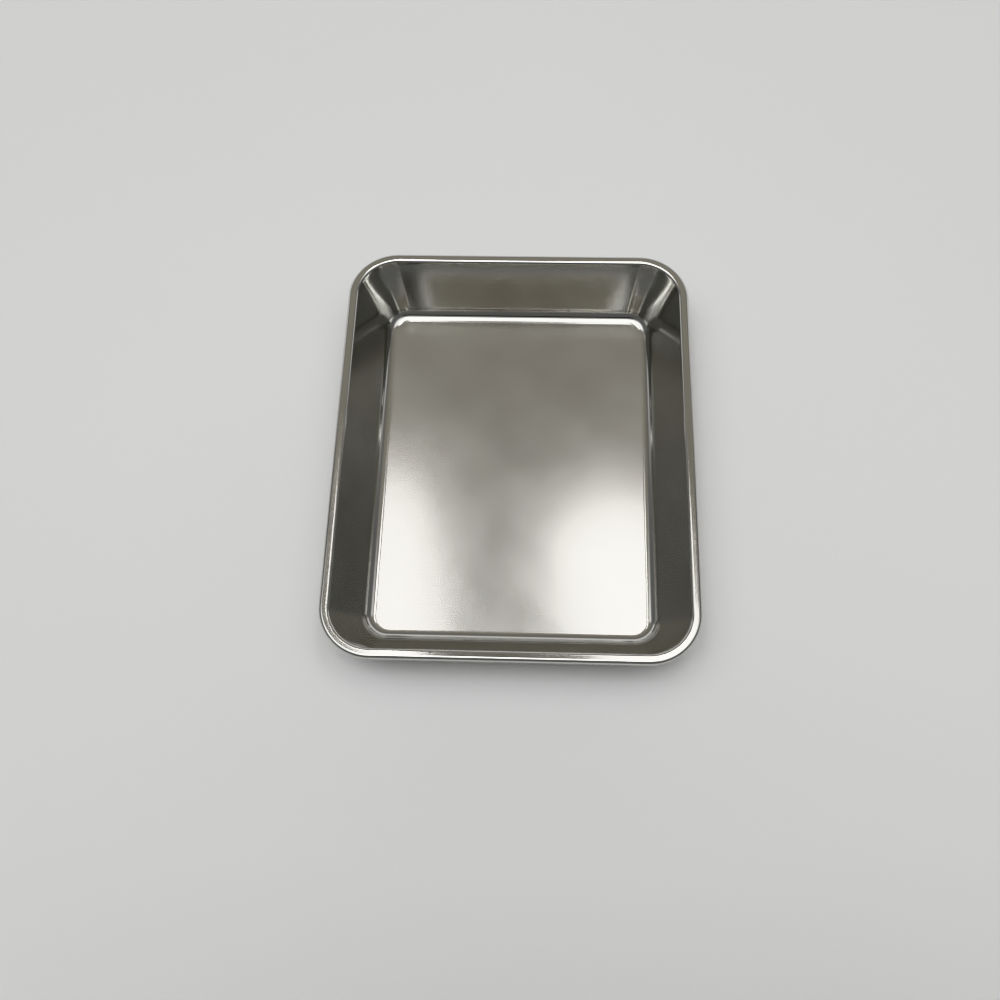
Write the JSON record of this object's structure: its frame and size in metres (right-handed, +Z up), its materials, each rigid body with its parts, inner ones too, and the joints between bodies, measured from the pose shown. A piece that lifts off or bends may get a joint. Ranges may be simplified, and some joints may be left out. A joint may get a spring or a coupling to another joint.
{
  "type": "developing tray",
  "caption": "Shallow rectangular stainless-steel developing tray with flared walls, rounded corners and a wired, rolled rim.",
  "frame": {"origin": "middle of the tray, on the underside of its floor, the plane it rests on", "axes": "+Z up out of the tray's mouth, +Y along its longer sides, +X along its shorter sides"},
  "size_m": [0.172, 0.213, 0.0314],
  "materials": {
    "satin_sheet_steel": "satin stainless sheet, fine even grain, softly mirroring",
    "wire_steel": "bright drawn stainless wire"
  },
  "bodies": {
    "root": {"tray_pan": "satin_sheet_steel", "rim_wire": "wire_steel"}
  },
  "joints": []
}
